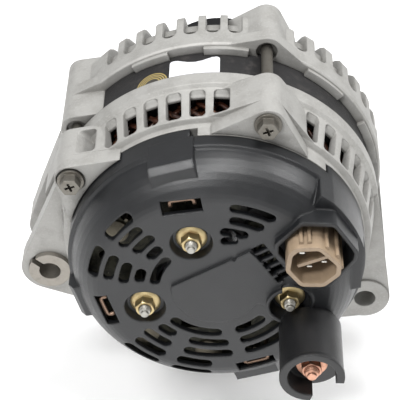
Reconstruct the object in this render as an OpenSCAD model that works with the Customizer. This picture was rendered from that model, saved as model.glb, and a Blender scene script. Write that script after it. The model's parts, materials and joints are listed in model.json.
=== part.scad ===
// Car alternator: claw-pole generator with a slotted rear cover, an angled
// hooded connector, a shrouded output terminal and two finned castings.
// Lengths along the shaft are "stations", in mm forward of the rear cover's
// flat face. The part's origin is on the shaft axis, in the belt's centre plane.
// Clock angles are seen from the rear: 0 points to +X, 90 points up to +Z.

/* [Body] */
// Distance from the cover's rear face to the belt's centre plane
belt_station = 128; // [126:1:140]
// Outer radius of the stator's steel core
stator_r = 71.6; // [71:0.1:72]
// Radius of the rear housing's front rim
rear_rim_r = 74.3; // [73.8:0.1:75]
// Radius of the front housing's outer band
front_band_r = 76.7; // [76.2:0.1:78]
// Radius of the rear cover's skirt
cover_r = 66.4; // [66:0.1:67]
// Wall thickness of the rear cover
cover_wall = 2.4; // [2:0.1:2.8]

/* [Cooling] */
// Angle from one rear window to the next
rear_window_pitch = 8.5; // [8:0.1:9]
// Width of a rear window
rear_window_w = 7; // [5.5:0.1:7.4]
// Angle from one front fin to the next
fin_pitch = 7.8; // [7.4:0.1:8.4]
// Width of a gap between two front fins
fin_gap_w = 6.6; // [5:0.1:7]
// Width of a slot in the rear cover
slot_w = 4.7; // [4:0.1:5]

/* [Ears] */
// Shaft axis to left ear axis
left_ear_r = 86.9; // [86:0.1:89]
// Clock angle of the left ear
left_ear_a = 203.6; // [202:0.2:206]
// Shaft axis to right ear axis
right_ear_r = 88.3; // [87:0.1:90]
// Clock angle of the right ear
right_ear_a = -36.4; // [-38:0.2:-34]
// Radius of the mounting bolt holes
ear_bore_r = 5.1; // [4.1:0.1:5.3]

/* [Fasteners] */
// Radius of the circle that the through bolts stand on
bolt_circle_r = 75.4; // [75:0.1:76]
// Radius of a through bolt's shank
bolt_r = 2.6; // [2.4:0.1:2.8]

/* [Terminal and connector] */
// Output terminal's place across
terminal_x = 42.1; // [41:0.1:43]
// Output terminal's place up
terminal_z = -24.1; // [-25:0.1:-23]
// Outer radius of the terminal shroud
shroud_r = 14; // [13.5:0.1:14.2]
// Connector's place across
connector_x = 41.5; // [41:0.1:42]
// Connector's place up
connector_z = 23; // [22:0.1:24]

/* [Rotor] */
// Outer radius of the claw poles
pole_r = 52; // [51:0.05:52]
// Outer radius of the pulley
pulley_r = 30; // [27:0.5:31]
// Number of belt ribs
belt_ribs = 7; // [5:1:7]

/* [Hidden] */
$fn = 96;
eps = 0.02;
cut = 60;

cast_aluminium = [0.78, 0.77, 0.74];
black_plastic = [0.2, 0.2, 0.2];
dark_plastic = [0.13, 0.13, 0.14];
beige_plastic = [0.74, 0.66, 0.54];
zinc_gold = [0.82, 0.7, 0.4];
bare_steel = [0.7, 0.7, 0.7];
core_steel = [0.25, 0.25, 0.26];
copper = [0.75, 0.47, 0.33];
enamelled_copper = [0.35, 0.16, 0.1];

// Stations along the shaft
cover_front_s = 30;
cover_front_high_s = 24.5;
wall_rear_s = 30;
wall_front_s = 33.5;
window_rear_s = 34;
window_front_s = 49.6;
rim_rear_s = 51.5;
rim_front_s = 59;
core_rear_s = 54;
core_front_s = 84;
lip_s = 77.4;
band_front_s = 86;
shoulder_s = 98.5;
front_wall_rear_s = 101;
front_face_s = 106;
front_hub_s = 112;
rear_bearing_s = 30;
rear_bearing_w = 11;
front_bearing_s = 97;
front_bearing_w = 14;
pole_rear_s = 53;
pole_front_s = 89;
pulley_rear_s = 114;
pulley_front_s = 142;
cup_r = 33;
cup_front_s = 163;

// Columns that the through bolts run in
column_r = 7.2;
long_bolt_angles = [73.3, 147.3];
short_bolt_angles = [236, 301];
long_seat_s = 25;
short_seat_s = 42;
column_front_s = 52;
bulge_rear_s = 60.6;
bulge_front_s = 104.6;

// Ears
left_boss_r = 13.8;
right_boss_r = 12;
bushing_r = 10;
ear_rear_s = 50;
rear_ear_front_s = 62;
front_ear_rear_s = 80;
front_ear_front_s = 94;
bushing_rear_s = 47.5;
bushing_l = 16;

// Cover studs and nuts
stud_places = [[-10.5, 26.9], [-31.4, -11.5], [32.6, -7]];
stud_r = 2.5;
pillar_r = 4.2;
well_depth = 4;
well_top_r = 10.4;
well_floor_r = 8.2;
nut_flange_r = 6.8;

// Openings in the rear housing's wall, between its spokes
wall_openings = [[118, 149], [161, 193], [207, 243], [255, 286], [298, 340], [356, 384], [36, 64], [76, 104]];
spacer_angles = [119, 161, 205, 239, 279, 345];

// Slots in the rear cover: ring number, start and end clock angle
slot_ring_1_r = 27;
slot_ring_pitch = 6.8;
slots = [
  [1, 138, 175], [1, 223, 276], [1, 289, 322],
  [2, 134, 149], [2, 160, 174], [2, 222, 238], [2, 249, 280], [2, 289, 326], [2, 66, 87],
  [3, 131, 149], [3, 158, 176], [3, 219, 240], [3, 249, 281], [3, 289, 320], [3, 60, 82],
  [4, 132, 149], [4, 156, 174], [4, 221, 241], [4, 248, 268], [4, 58, 83],
  [5, 131, 149], [5, 155, 174], [5, 221, 241], [5, 248, 268]
];

// Lead windows in the rear cover: radius, clock angle, turn, length, width
lead_windows = [[49.3, 107, 10, 17.5, 7], [50.4, 196, 107, 18, 6], [50.2, 291.5, 200, 18, 5.6]];

// Brushes run up and down, below the slip rings
ring_r = 7.2;
ring_w = 6;
inner_ring_s = 18;
outer_ring_s = 9;
brush_half_x = 3.2;
brush_w = 5;
brush_top_z = -ring_r - 0.05;
brush_low_z = -20.5;
spring_low_z = -28.5;
holder_low_z = -31;
brush_gap = 0.1;

// A 2D outline, seen from the rear, drawn as a slab from station s0 to s1
module slab(s0, s1) {
  translate([0, s1 - belt_station, 0]) rotate([90, 0, 0]) linear_extrude(s1 - s0) children();
}

// A profile of [radius, station] points turned about the shaft axis
module turned(from = 0, sweep = 360) {
  translate([0, -belt_station, 0]) rotate([90, 0, 0]) mirror([0, 0, 1])
    rotate([0, 0, from]) rotate_extrude(angle = sweep) children();
}

// A plain ring between two radii and two stations
module ring(r0, r1, s0, s1) {
  turned() polygon([[r0, s0], [r1, s0], [r1, s1], [r0, s1]]);
}

// A straight round bar along the shaft direction at [x, z]
module bar(at, r, s0, s1, sides = 48) {
  slab(s0, s1) translate(at) circle(r, $fn = sides);
}

// A cone along the shaft direction at [x, z], r0 at station s0 and r1 at s1
module cone(at, r0, r1, s0, s1) {
  translate([at[0], s0 - belt_station, at[1]]) rotate([-90, 0, 0])
    cylinder(h = s1 - s0, r1 = r0, r2 = r1, $fn = 48);
}

// Places a child at a radius and clock angle, its X axis pointing outward
module at_clock(r, a) {
  rotate([0, -a, 0]) translate([r, 0, 0]) children();
}

function polar(r, a) = [r * cos(a), r * sin(a)];
function unit(v) = v / norm(v);
function angle_of(v) = atan2(v[1], v[0]);
function short_turn(a) = a > 180 ? a - 360 : (a < -180 ? a + 360 : a);

// Points of a polygon's corner rounded to radius r, in n steps
function corner(a, p, b, r, n = 6) =
  let (u = unit(a - p), v = unit(b - p))
  let (half = acos(u * v) / 2, reach = r / tan(half))
  let (centre = p + unit(u + v) * r / sin(half))
  let (start = angle_of(p + u * reach - centre), stop = angle_of(p + v * reach - centre))
  [for (i = [0:n]) centre + polar(r, start + short_turn(stop - start) * i / n)];

// A polygon with every corner rounded to the same radius
module rounded_polygon(points, r) {
  n = len(points);
  polygon([
    for (i = [0:n - 1])
      each corner(points[(i + n - 1) % n], points[i], points[(i + 1) % n], r)
  ]);
}

// Wedge of the plane between two clock angles
module wedge(a0, a1, r = 120) {
  steps = max(1, ceil((a1 - a0) / 30));
  polygon(concat([[0, 0]], [for (i = [0:steps]) polar(r * 1.1, a0 + (a1 - a0) * i / steps)]));
}

// Arc-shaped slot with round ends
module arc_slot(r, a0, a1, w) {
  end = asin(w / 2 / r);
  intersection() {
    difference() {
      circle(r + w / 2);
      circle(r - w / 2);
    }
    wedge(a0 + end, a1 - end);
  }
  for (a = [a0 + end, a1 - end]) translate(polar(r, a)) circle(w / 2 - 0.03, $fn = 24);
}

// Outline of a body circle joined by its tangents to an ear's circle
module ear_outline(body_r, ear_r, ear_a, boss_r) {
  side = acos((body_r - boss_r) / ear_r);
  ear = polar(ear_r, ear_a);
  polygon([
    [0, 0],
    polar(body_r, ear_a - side),
    ear + polar(boss_r, ear_a - side),
    ear + polar(boss_r, ear_a + side),
    polar(body_r, ear_a + side)
  ]);
  translate(ear) circle(boss_r - 0.03);
}

// ---- Rear cover ----

// Outside of the cover as a turned solid
module cover_dome() {
  turned() polygon([
    [0, 0], [50, 0], [52, 0.3], [54, 1.1], [56.6, 2.8], [58.8, 4.8], [60.8, 7.2], [62.4, 10], [63.6, 13],
    [64.4, 15.8], [64.8, 17.6], [cover_r, 18.4], [cover_r, cover_front_s], [0, cover_front_s]
  ]);
}

// Straight-walled block that carries the connector hood
hood_outline = [[35.5, 42], [50.5, 41.5], [61, 25.5], [60.5, 21], [50, 5], [40, 2.5], [25, 24.5], [25, 29.5]];
hood_rim_s = -3.2;

module connector_block() {
  intersection() {
    slab(hood_rim_s, cover_front_s) rounded_polygon(hood_outline, 3);
    ring(0, cover_r, hood_rim_s, cover_front_s);
  }
  intersection() {
    slab(6, cover_front_s) polygon([[30, 20], [44, 49.5], [52, 43], [64, 26], [64, -4], [50, -8]]);
    ring(0, cover_r + 0.6, 6, cover_front_s);
  }
}

// Blocks over the three lead clips, each with a chamfered rear edge
module lead_block(r, a, w, out_r, rear_s) {
  rotate([0, -a, 0]) translate([0, -belt_station, -w / 2]) linear_extrude(w)
    polygon([
      [r - 8, 3], [r + 3, rear_s], [out_r - 2.5, rear_s + 1], [out_r, rear_s + 4],
      [out_r, cover_front_high_s], [r - 8, cover_front_high_s]
    ]);
}

module sector_plate() {
  slab(-1.3, 1) intersection() {
    union() {
      circle(19.5);
      polygon([[0, 0], [12, 26], [30, 6], [22, -9]]);
    }
    polygon([[-24, -0.6], [20.5, 27], [34, -4], [18, -30], [-30, -26]]);
  }
}

module cover_hollow() {
  turned() polygon([
    [0, cover_wall], [49.8, cover_wall], [52.4, 3.2], [55, 5], [58.2, 8.2], [60.6, 12.2],
    [61.9, 16], [62.4, 18], [cover_r - cover_wall, 20.4],
    [cover_r - cover_wall, cover_front_s + 1], [0, cover_front_s + 1]
  ]);
}

module cover_openings() {
  for (s = slots) slab(-4, 12) arc_slot(slot_ring_1_r + (s[0] - 1) * slot_ring_pitch, s[1], s[2], slot_w);
  for (w = lead_windows) slab(-4, 14) translate(polar(w[0], w[1])) rotate(w[2]) square([w[3], w[4]], center = true);
  slab(-4, 6) translate([5.8, 28.4]) {
    square([3, 4.6], center = true);
    for (x = [-1.5, 1.5]) translate([x, 0]) circle(2.3, $fn = 24);
  }
  slab(-4, 6) translate([23.7, 16.2]) rotate(-57) louvre_gaps();
}

// Five gaps between the bars of the louvre
module louvre_gaps() {
  gap = 3.5;
  pitch = 4.7;
  for (i = [-2:2]) translate([i * pitch, 0]) square([gap, 6.4], center = true);
}

module rear_cover() color(black_plastic) difference() {
  union() {
    difference() {
      union() {
        cover_dome();
        connector_block();
        lead_block(50, 107, 20, 66.4, 5);
        lead_block(50, 196, 18, 66.4, 8);
        lead_block(48, 288, 20, 65.6, 4);
      }
      difference() {
        cover_hollow();
        for (p = stud_places) bar(p, well_floor_r + cover_wall, -1, well_depth + cover_wall);
      }
      slab(hood_rim_s - 1, cover_front_s + 1) intersection() {
        rounded_polygon([for (p = hood_outline) [43, 23] + (p - [43, 23]) * 0.9], 2.4);
        circle(cover_r - cover_wall);
      }
    }
    sector_plate();
    difference() {
      bar(stud_places[2], 10.6, -3.4, well_depth + cover_wall);
      translate([0, -belt_station, 0]) at_clock(0, 0) translate([29, -10, -30]) cube([30, 9, 60]);
    }
  }
  cover_openings();
  for (p = stud_places) {
    cone(p, well_top_r - 0.6, well_floor_r, -1.5, well_depth);
    bar(p, 9, -6, -1);
    bar(p, stud_r + 0.3, -2, 10);
  }
  bar([terminal_x, terminal_z], shroud_r + 0.15, -4, 0);
  bar([terminal_x, terminal_z], 11.7, -1, 13);
  for (sector = [[44, 100]])
    slab(cover_front_high_s, cover_front_s + 1) intersection() {
      circle(cover_r + 6);
      wedge(sector[0], sector[1]);
    }
}

// ---- Fasteners of the cover ----

module cover_studs() color(bare_steel) for (p = stud_places) {
  bar(p, stud_r, -5, wall_rear_s - 5);
  bar(p, pillar_r, well_depth + cover_wall + eps, wall_rear_s - eps);
}

module cover_nuts() color(zinc_gold) for (p = stud_places) difference() {
  union() {
    cone(p, nut_flange_r - 1.2, nut_flange_r, well_depth - 1.6, well_depth - 0.6);
    bar(p, nut_flange_r, well_depth - 0.7, well_depth - eps);
    bar(p, 4.62, -1.6, well_depth - 1, 6);
  }
  bar(p, stud_r + eps, -3, well_depth + 1);
}

// ---- Rear housing ----

module rear_shell_outside() {
  turned() polygon([
    [0, wall_rear_s + 0.05], [66.6, wall_rear_s + 0.05], [67, 32.4], [69.6, 33],
    [72.3, ear_rear_s + 0.3], [rear_rim_r, rim_rear_s], [rear_rim_r, rim_front_s], [0, rim_front_s]
  ]);
  turned(45, 52) polygon([
    [62.4, cover_front_high_s + 0.4], [66.6, cover_front_high_s + 0.4], [66.6, 31], [62.4, 31]
  ]);
}

module rear_shell_inside() {
  turned() polygon([
    [0, wall_front_s], [62.6, wall_front_s], [65.4, 36.5], [68.8, 50.6], [69.4, core_rear_s - eps],
    [stator_r + 0.06, core_rear_s - eps], [stator_r + 0.06, rim_front_s + 1], [0, rim_front_s + 1]
  ]);
}

// One window cut radially, with its corners rounded to radius r
module rear_window(a, s0 = window_rear_s, s1 = window_front_s, r = 2) {
  w = rear_window_w / 2;
  translate([0, -belt_station, 0]) rotate([0, -a, 0]) translate([58, 0, 0]) rotate([0, 90, 0])
    linear_extrude(24) rounded_polygon([[-w, s0], [w, s0], [w, s1], [-w, s1]], r);
}

// Where the windows may cut: right through at the rear, then a floor that
// scoops up to the rim
module window_depth() {
  turned() polygon([
    [57, wall_rear_s], [57, 47.8], [69.2, 47.8], [70.2, 48.6],
    [72.6, window_front_s + 0.4], [84, window_front_s + 0.4], [84, wall_rear_s]
  ]);
}

rear_window_angles = concat(
  [for (i = [0:6]) 88.4 + i * rear_window_pitch],
  [for (i = [0:5]) 54.4 - i * (rear_window_pitch + 0.1)],
  [for (i = [0:1]) 166 + i * rear_window_pitch],
  [for (i = [0:4]) 251 + i * rear_window_pitch]
);

// Bulge of a casting round a through bolt, from station s0 to s1
module bolt_bulge(a, s0, s1, body_r, clear_r) {
  slab(s0, s1) difference() {
    ear_outline(body_r, bolt_circle_r, a, column_r);
    circle(clear_r);
  }
}

module rear_housing() color(cast_aluminium) difference() {
  union() {
    difference() {
      union() {
        rear_shell_outside();
        for (a = long_bolt_angles) {
          bolt_bulge(a, long_seat_s, 34, 59.6, 66.9);
          bolt_bulge(a, 33.2, column_front_s, a == long_bolt_angles[1] ? 60.4 : 66, 66.9);
        }
        for (a = short_bolt_angles) bolt_bulge(a, short_seat_s, column_front_s, 66, 66.9);
        slab(ear_rear_s, rim_front_s) {
          ear_outline(rear_rim_r, left_ear_r, left_ear_a, left_boss_r);
          ear_outline(rear_rim_r, right_ear_r, right_ear_a, right_boss_r);
        }
        bar(polar(left_ear_r, left_ear_a), left_boss_r - 0.4, ear_rear_s + 1, rear_ear_front_s);
        bar(polar(right_ear_r, right_ear_a), right_boss_r - 0.4, ear_rear_s - 1, rear_ear_front_s);
      }
      rear_shell_inside();
      intersection() {
        for (a = rear_window_angles) rear_window(a);
        window_depth();
      }
      for (w = wall_openings) slab(wall_rear_s - 1, wall_front_s + 1) intersection() {
        difference() {
          circle(55);
          circle(26);
        }
        wedge(w[0], w[1]);
      }
    }
    for (p = stud_places) bar(p, 5.6, wall_rear_s + 0.05, wall_front_s);
    for (a = spacer_angles) bar(polar(57, a), 3.4, 24 + eps, wall_rear_s + 1);
    ring(14, 21.5, 26, 41.5);
  }
  ring(0, 17.55, rear_bearing_s, 45);
  for (a = long_bolt_angles) bar(polar(bolt_circle_r, a), bolt_r + 0.25, 20, rim_front_s + 1);
  for (a = short_bolt_angles) bar(polar(bolt_circle_r, a), bolt_r + 0.25, 30, rim_front_s + 1);
  for (a = short_bolt_angles) bar(polar(bolt_circle_r, a), 6.6, 30, short_seat_s);
  bar(polar(bolt_circle_r, long_bolt_angles[1]), 6.5, long_seat_s - 1, long_seat_s + 2.6);
  bar(polar(left_ear_r, left_ear_a), bushing_r + 0.05, 40, 70, 96);
  bar(polar(right_ear_r, right_ear_a), ear_bore_r, 40, 70, 96);
}

// ---- Front housing ----

module front_shell_outside() {
  turned() polygon([
    [0, lip_s], [front_band_r - 0.8, lip_s], [front_band_r, lip_s + 0.8], [front_band_r, shoulder_s],
    [75.6, 101.3], [73, 104], [69, 105.6], [64, front_face_s], [0, front_face_s]
  ]);
}

module front_shell_inside() {
  turned() polygon([
    [0, lip_s - 1], [stator_r + 0.06, lip_s - 1], [stator_r + 0.06, core_front_s + eps],
    [70, core_front_s + eps], [70.4, 96], [68, 99.6], [62, front_wall_rear_s], [0, front_wall_rear_s]
  ]);
}

// One gap between two fins, open over the shoulder and on into the face
module fin_gap(a) {
  w = fin_gap_w;
  translate([0, -belt_station, 0]) rotate([0, -a, 0]) {
    translate([52, band_front_s + w / 2, -w / 2]) cube([30, 30, w]);
    translate([64, band_front_s + w / 2, 0]) rotate([0, 90, 0]) cylinder(h = 20, r = w / 2, $fn = 32);
    translate([52, 90, 0]) rotate([-90, 0, 0]) cylinder(h = 30, r = w / 2, $fn = 32);
  }
}

fin_gap_angles = concat(
  [for (i = [0:6]) 84.4 + i * (fin_pitch - 0.3)],
  [for (i = [0:10]) 60.8 - i * (fin_pitch + 0.4)],
  [for (i = [0:1]) 159.5 + i * fin_pitch],
  [for (i = [0:4]) 253 + i * fin_pitch]
);

module front_housing() color(cast_aluminium) difference() {
  union() {
    difference() {
      union() {
        front_shell_outside();
        slab(front_ear_rear_s, front_ear_front_s) {
          ear_outline(front_band_r - 1, left_ear_r, left_ear_a, left_boss_r - 0.8);
          polygon([[-40, 10], [-67.2, 36], [-86.6, -15], [-91.6, -30], [-70, -30]]);
          ear_outline(front_band_r - 1, right_ear_r, right_ear_a, right_boss_r);
        }
      }
      front_shell_inside();
      for (a = fin_gap_angles) fin_gap(a);
    }
    ring(70.6, 73.4, 92.4, 96.6);
    for (a = concat(long_bolt_angles, short_bolt_angles)) {
      bolt_bulge(a, lip_s + 0.05, core_front_s + 0.3, 73.4, stator_r + 0.12);
      bolt_bulge(a, core_front_s + 0.2, bulge_front_s, 58, 70.2);
    }
    for (seg = [[107.5, 121], [79.5, 95], [41, 57.5], [8, 27], [150, 172], [256, 282], [322, 344]])
      turned(seg[0], seg[1] - seg[0])
        polygon([[stator_r + 0.1, lip_s - 2], [front_band_r - 1.4, lip_s - 2], [front_band_r - 1.4, lip_s + 1], [stator_r + 0.1, lip_s + 1]]);
    slab(bulge_rear_s, lip_s + 0.3) difference() {
      union() {
        ear_outline(58, bolt_circle_r, long_bolt_angles[1], column_r);
        polygon([[-50, 20], [-66.6, 37], [-80.6, 2.4], [-78.4, -3], [-60, -3]]);
      }
      circle(stator_r + 0.12);
    }
    ring(23.55, 28, 96, front_hub_s);
    ring(20, 28, 111.2, front_hub_s);
    for (i = [0:3]) bar(polar(32, 45 + i * 90), 4, 96, front_face_s - 1);
    for (i = [0:7]) slab(front_wall_rear_s - 1.6, front_face_s) rotate(i * 45) translate([27, -2.2]) square([28, 4.4]);
  }
  ring(0, 23.55, 90, 111.2);
  ring(0, 20, 100, 115);
  for (a = concat(long_bolt_angles, short_bolt_angles)) {
    bar(polar(bolt_circle_r, a), bolt_r + 0.05, 60, 96);
    bar(polar(bolt_circle_r, a), 4.8, 60, a == long_bolt_angles[1] ? bulge_rear_s + 1.5 : lip_s + 2.6);
  }
  bar(polar(left_ear_r, left_ear_a), ear_bore_r, 70, 100, 96);
  bar(polar(right_ear_r, right_ear_a), ear_bore_r, 70, 100, 96);
  for (i = [0:3]) bar(polar(32, 45 + i * 90), 2.05, 90, 100);
}

// ---- Sliding bushing of the left ear ----

module ear_bushing() color(bare_steel) difference() {
  bar(polar(left_ear_r, left_ear_a), bushing_r, bushing_rear_s, bushing_rear_s + bushing_l, 96);
  bar(polar(left_ear_r, left_ear_a), ear_bore_r, 40, 70, 96);
  slab(40, 70) translate(polar(left_ear_r, left_ear_a)) rotate(138) translate([0, -1.4]) square([12, 2.8]);
}

// ---- Stator ----

stator_slots = 48;
bore_r = pole_r + 0.4;

module stator_core() color(core_steel) slab(core_rear_s, core_front_s) difference() {
  circle(stator_r, $fn = 192);
  circle(bore_r, $fn = 192);
  for (i = [0:stator_slots - 1]) rotate(i * 360 / stator_slots) translate([bore_r - 1, -1.3]) square([14, 2.6]);
}

module stator_winding() color(enamelled_copper) {
  ring(55.5, 65.2, 37.5, 52);
  ring(55.5, 65.5, 86, 98);
  for (i = [0:stator_slots - 1]) slab(51, 87) rotate(i * 360 / stator_slots) translate([56, -1.1]) square([8.4, 2.2]);
}

module lead_clips() color(copper) for (w = lead_windows) slab_clip(w);

// U-shaped strip lead: its bridge lies outermost and two legs turn down to the plate
module slab_clip(w) {
  half = w[3] / 2 - 2.6;
  slab(2.6, 4.2) translate(polar(w[0], w[1])) rotate(w[2]) {
    translate([-half, 0.6]) square([2 * half, 1.9]);
    for (x = [-half, half - 1.9]) translate([x, -2.5]) square([1.9, 4]);
  }
  slab(4, 12 - eps) translate(polar(w[0], w[1])) rotate(w[2])
    for (x = [-half, half - 1.9]) translate([x, -2.5]) square([1.9, 1.5]);
}

// ---- Through bolts ----

module flange_bolt(a, seat_s) difference() {
  union() {
    bar(polar(bolt_circle_r, a), bolt_r, seat_s - 1, 95);
    bar(polar(bolt_circle_r, a), 5.9, seat_s - 1.2, seat_s - eps);
    bar(polar(bolt_circle_r, a), 4.6, seat_s - 5.4, seat_s - 1.2, 6);
  }
  slab(seat_s - 6, seat_s - 3) translate(polar(bolt_circle_r, a)) for (t = [0, 90]) rotate(t + 20) square([4.6, 1.1], center = true);
}

module long_through_bolts() color(bare_steel) for (a = long_bolt_angles) flange_bolt(a, long_seat_s);
module short_through_bolts() color(bare_steel) for (a = short_bolt_angles) flange_bolt(a, short_seat_s);

// ---- Connector ----

socket_depth = 14;
connector_mouth_s = -10.5;
connector_outline = [[30.6, 30.6], [33.4, 34], [44, 34.8], [53.4, 24.5], [53.2, 19], [46.5, 12], [36.5, 12], [29.6, 21]];

module connector_body() color(beige_plastic) difference() {
  union() {
    slab(connector_mouth_s, 13) rounded_polygon(connector_outline, 4);
    for (p = [[36, 34.9], [39.5, 35.1], [47, 32.2], [51.5, 27.6], [53.6, 21]])
      bar(p, 0.9, connector_mouth_s + 2.5, 12, 24);
  }
  difference() {
    slab(connector_mouth_s - 1, connector_mouth_s + socket_depth)
      rounded_polygon([for (p = connector_outline) [41.5, 23] + (p - [41.5, 23]) * 0.83], 3);
    slab(connector_mouth_s + 3, connector_mouth_s + socket_depth + 1)
      translate([connector_x, connector_z + 1]) rotate(24) square([14.5, 1.6], center = true);
  }
  for (p = pin_places) slab(0, 14) translate(p) square([2.4, 1], center = true);
}

pin_places = [
  for (side = [-1, 1]) for (along = [-1, 1])
    [connector_x, connector_z + 1] + [[cos(24), -sin(24)], [sin(24), cos(24)]] * [along * 3.4, side * 4.2]
];

module connector_pins() color(bare_steel) for (p = pin_places)
  slab(-5, 13) translate(p) square([2.2, 0.8], center = true);

// ---- Regulator, brushes ----

module regulator() color(dark_plastic) slab(13 + eps, 25) intersection() {
  rounded_polygon([[12, 6], [14, 35], [40, 42], [57, 24], [56, 3], [40, 3]], 2);
  circle(60);
}

module regulator_heat_sink() color(cast_aluminium) {
  slab(10.4, 13) rounded_polygon([[13, 9], [14, 30], [26.5, 30], [26.5, 9]], 1.5);
  for (i = [0:4]) slab(5, 11) translate([14.6 + i * 2.6, 10.5]) square([1.1, 17]);
}

module holder_pocket(s0) {
  translate([-brush_half_x - brush_gap, s0 - brush_gap - belt_station, spring_low_z])
    cube([2 * (brush_half_x + brush_gap), brush_w + 2 * brush_gap, 24]);
}

module brush_holder() color(dark_plastic) difference() {
  union() {
    slab(7.4, 25) translate([-6.5, holder_low_z]) square([13, 21.6]);
    slab(22, 25) translate([-14, -30]) square([28, 7]);
  }
  holder_pocket(outer_ring_s + 0.5);
  holder_pocket(inner_ring_s + 0.5);
  for (x = [-10.5, 10.5]) bar([x, -26.5], 2.1, 20, 30);
}

module holder_screws() color(bare_steel) for (x = [-10.5, 10.5]) {
  bar([x, -26.5], 2, 21.9, wall_rear_s - eps);
  bar([x, -26.5], 3.4, 19.6, 22 - eps);
}

module brush(s0) color([0.2, 0.17, 0.16]) difference() {
  translate([-brush_half_x, s0 - belt_station, brush_low_z]) cube([2 * brush_half_x, brush_w, brush_top_z - brush_low_z + 1.2]);
  ring(0, ring_r + 0.05, s0 - 2, s0 + brush_w + 2);
}

module inner_brush() brush(inner_ring_s + 0.5);
module outer_brush() brush(outer_ring_s + 0.5);

// Coil spring drawn as a stack of rings joined by one rib
module brush_spring(s0) color(bare_steel) {
  translate([0, s0 + brush_w / 2 - belt_station, 0]) {
    for (i = [0:5]) translate([0, 0, spring_low_z + 0.4 + i * 1.4]) rotate_extrude($fn = 32) translate([1.7, 0]) circle(0.3, $fn = 16);
    translate([1.45, -0.25, spring_low_z + 0.1]) cube([0.5, 0.5, brush_low_z - spring_low_z - 0.3]);
  }
}

module inner_brush_spring() brush_spring(inner_ring_s + 0.5);
module outer_brush_spring() brush_spring(outer_ring_s + 0.5);

// ---- Rectifier ----

diode_r = 6.2;
negative_angles = [107, 141, 170, 196, 214, 248, 291, 312];
positive_angles = [86, 130, 152, 230, 266];

module plate_outline() difference() {
  intersection() {
    difference() {
      circle(60.1);
      circle(33.5);
    }
    wedge(74, 350);
  }
  for (p = stud_places) translate(p) circle(pillar_r + 1);
  translate([-16, -36]) square([32, 14]);
}

module positive_plate() color(cast_aluminium) slab(12, 14) difference() {
  plate_outline();
  for (a = positive_angles) translate(polar(50, a)) circle(diode_r + eps);
  for (a = negative_angles) translate(polar(50, a)) circle(2.6);
  translate([terminal_x, terminal_z]) circle(3.02);
}

module negative_plate() color(cast_aluminium) slab(22, 24) difference() {
  plate_outline();
  for (a = negative_angles) translate(polar(50, a)) circle(diode_r + eps);
  for (a = positive_angles) translate(polar(50, a)) circle(2.6);
}

module diodes() color(bare_steel) {
  for (a = negative_angles) {
    bar(polar(50, a), diode_r, 19, 25);
    bar(polar(50, a), 0.8, 9.5, 19, 16);
  }
  for (a = positive_angles) {
    bar(polar(50, a), diode_r, 10.5, 16.5);
    bar(polar(50, a), 0.8, 16.5, 21, 16);
  }
}

module plate_spacers() color(dark_plastic) for (a = spacer_angles) bar(polar(57, a), 2.6, 14 + eps, 22 - eps);

// ---- Output terminal ----

module terminal_stud() color(copper) {
  bar([terminal_x, terminal_z], 3, -28.2, 14.8);
  bar([terminal_x, terminal_z], 2.1, -29.6, 14);
  bar([terminal_x, terminal_z], 5.6, 14 + eps, 17.5, 6);
}

module terminal_nut() color(copper) difference() {
  union() {
    bar([terminal_x, terminal_z], 7.1, -22.2, -20 - eps);
    bar([terminal_x, terminal_z], 4.8, -26, -22.2, 6);
  }
  bar([terminal_x, terminal_z], 3 + eps, -30, -15);
}

module terminal_shroud() color(dark_plastic) difference() {
  union() {
    bar([terminal_x, terminal_z], shroud_r, -29, -eps, 96);
    bar([terminal_x, terminal_z], shroud_r + 0.3, -30, -28, 96);
    bar([terminal_x, terminal_z], 11.6, -1, 12 - eps, 96);
  }
  bar([terminal_x, terminal_z], shroud_r - 3.2, -31, -20, 96);
  bar([terminal_x, terminal_z], 3 + eps, -31, 20);
  slab(-31, -20) intersection() {
    translate([terminal_x, terminal_z]) {
      translate([1.8, -20]) square([20, 17]);
      rotate(-18) translate([4, -14]) square([20, 13]);
    }
    translate([terminal_x, terminal_z]) wedge(-91, -12, 30);
  }
}

// ---- Bearings ----

module race_pair_groove(pitch_r, ball_r, mid_s) {
  turned() translate([pitch_r, mid_s]) circle(ball_r + 0.05, $fn = 32);
}

module outer_race(r0, r1, s0, w, pitch_r, ball_r) difference() {
  ring(r0, r1, s0 + eps, s0 + w);
  race_pair_groove(pitch_r, ball_r, s0 + w / 2);
}

module ball_set(n, pitch_r, ball_r, mid_s) {
  for (i = [0:n - 1]) translate([0, mid_s - belt_station, 0]) at_clock(pitch_r, i * 360 / n) sphere(ball_r, $fn = 32);
}

module ball_cage(n, pitch_r, ball_r, mid_s, half_t) difference() {
  ring(pitch_r - half_t, pitch_r + half_t, mid_s - ball_r - 0.8, mid_s + ball_r + 0.8);
  for (i = [0:n - 1]) translate([0, mid_s - belt_station, 0]) at_clock(pitch_r, i * 360 / n) sphere(ball_r + 0.1, $fn = 32);
}

rear_mid_s = rear_bearing_s + rear_bearing_w / 2;
front_mid_s = front_bearing_s + front_bearing_w / 2;

module rear_outer_race() color(bare_steel) outer_race(14.7, 17.5, rear_bearing_s, rear_bearing_w, 12.5, 3);
module rear_inner_race() color(bare_steel) outer_race(7.5, 10.4, rear_bearing_s, rear_bearing_w, 12.5, 3);
module rear_balls() color(bare_steel) ball_set(8, 12.5, 3, rear_mid_s);
module rear_cage() color(dark_plastic) ball_cage(8, 12.5, 3, rear_mid_s, 0.9);
module rear_seals() color(dark_plastic) for (s = [rear_bearing_s + 0.6, rear_bearing_s + rear_bearing_w - 1.4]) ring(10.7, 14.68, s, s + 0.8);

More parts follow.
